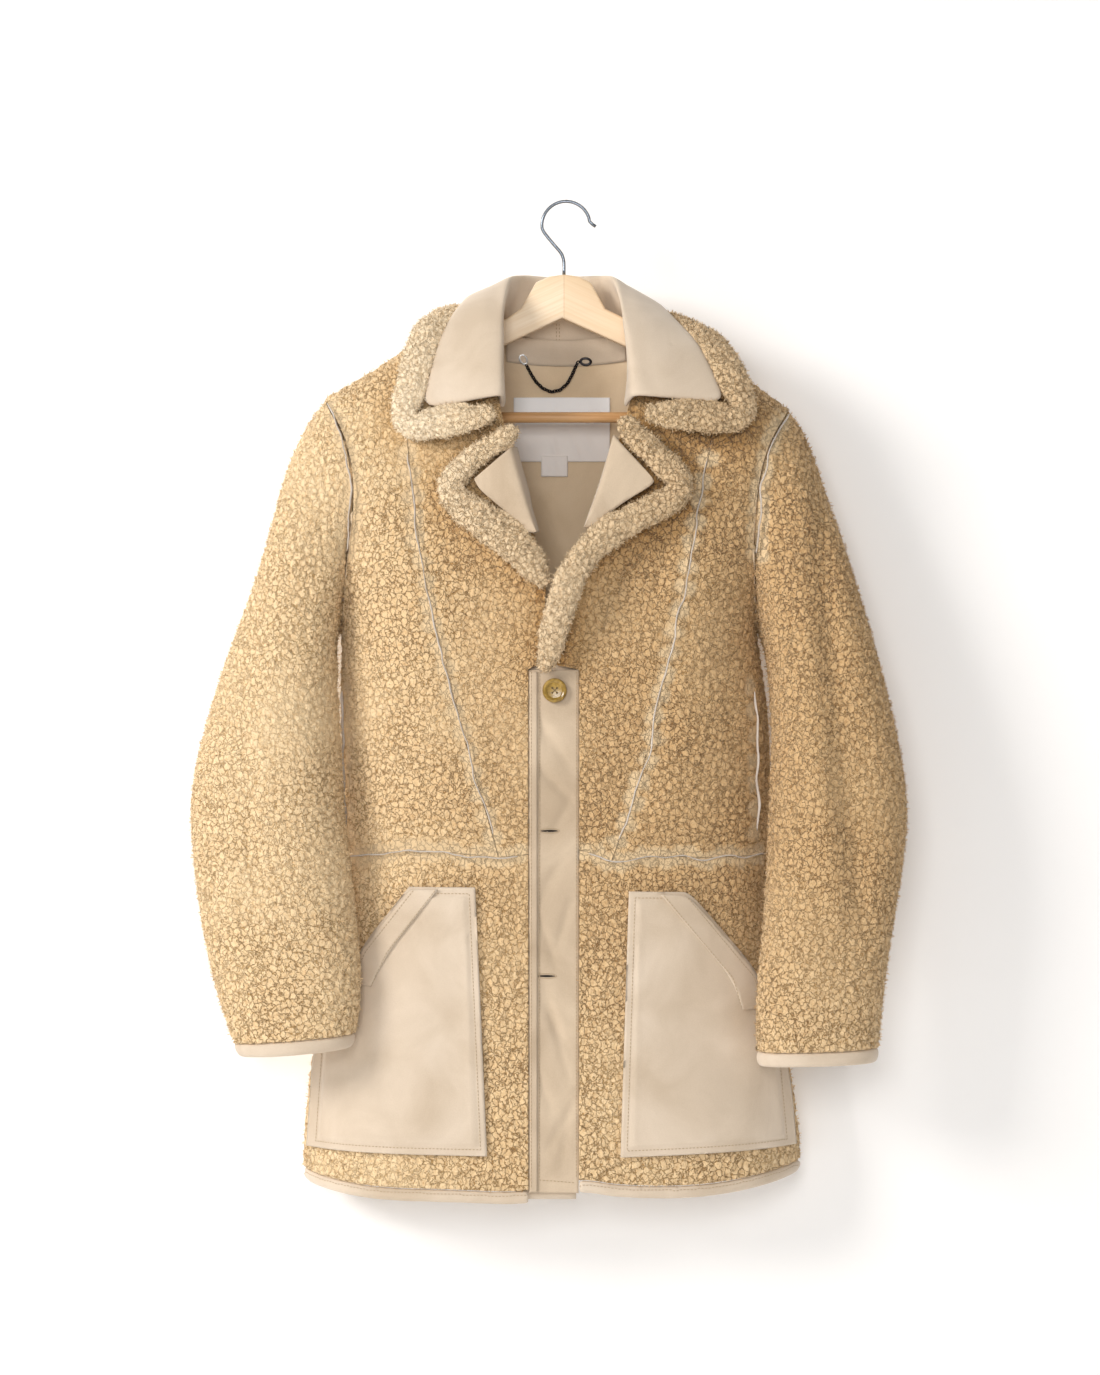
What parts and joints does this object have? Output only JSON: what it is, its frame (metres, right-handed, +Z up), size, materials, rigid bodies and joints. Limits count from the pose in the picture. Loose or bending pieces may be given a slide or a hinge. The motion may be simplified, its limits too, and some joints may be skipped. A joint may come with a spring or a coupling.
{
  "type": "fleece jacket on a hanger",
  "caption": "Mid-length shearling jacket with a wide rolled collar, lapels, patch pockets and suede bands, hanging open at the neck on a flat wooden hanger with a wire hook.",
  "frame": {"origin": "the point inside the top of the hanger's wire hook where a rail bears", "axes": "+Z up, +X towards the wearer's left, -Y out of the jacket's front"},
  "size_m": [0.7121, 0.1744, 0.9992],
  "materials": {
    "cream_fleece": "long curly wool pile in clumps, matt",
    "pale_suede": "short napped suede side of the same skin, matt",
    "raw_skin_edge": "cut raw edge of the skin, matt",
    "horn": "marbled olive-gold horn, polished",
    "white_label": "woven satin, plain white",
    "black_steel": "blackened steel chain",
    "chrome": "bright plated wire",
    "maple": "pale flat wood, thin clear lacquer",
    "beech": "honey-coloured turned wood, thin clear lacquer"
  },
  "bodies": {
    "root": {"back": "cream_fleece", "front_centre_right": "cream_fleece", "front_side_right": "cream_fleece", "front_skirt_right": "cream_fleece", "front_centre_left": "cream_fleece", "front_side_left": "cream_fleece", "front_skirt_left": "cream_fleece", "sleeve_top_right": "cream_fleece", "sleeve_under_right": "cream_fleece", "sleeve_top_left": "cream_fleece", "sleeve_under_left": "cream_fleece", "cuff_band_right": "pale_suede", "cuff_band_left": "pale_suede", "hem_band_right": "pale_suede", "hem_band_left": "pale_suede", "hem_band_back": "pale_suede", "placket": "pale_suede", "placket_edge": "pale_suede", "button_stand": "pale_suede", "pocket_right": "pale_suede", "pocket_left": "pale_suede", "pocket_band_right": "pale_suede", "pocket_band_left": "pale_suede", "princess_ridge_right": "raw_skin_edge", "princess_ridge_left": "raw_skin_edge", "waist_ridge_right": "raw_skin_edge", "waist_ridge_left": "raw_skin_edge", "armhole_ridge_right": "raw_skin_edge", "armhole_ridge_left": "raw_skin_edge", "side_ridge_right": "raw_skin_edge", "side_ridge_left": "raw_skin_edge", "collar": "pale_suede", "collar_border": "cream_fleece", "lapel_right": "pale_suede", "lapel_left": "pale_suede", "lapel_border_right": "cream_fleece", "lapel_border_left": "cream_fleece", "neck_label": "white_label", "size_tab": "white_label", "hang_chain": "black_steel", "eyelet_right": "chrome", "eyelet_left": "chrome", "button": "horn", "hanger": "maple", "hanger_bar": "beech", "hanger_hook": "chrome"}
  },
  "joints": []
}
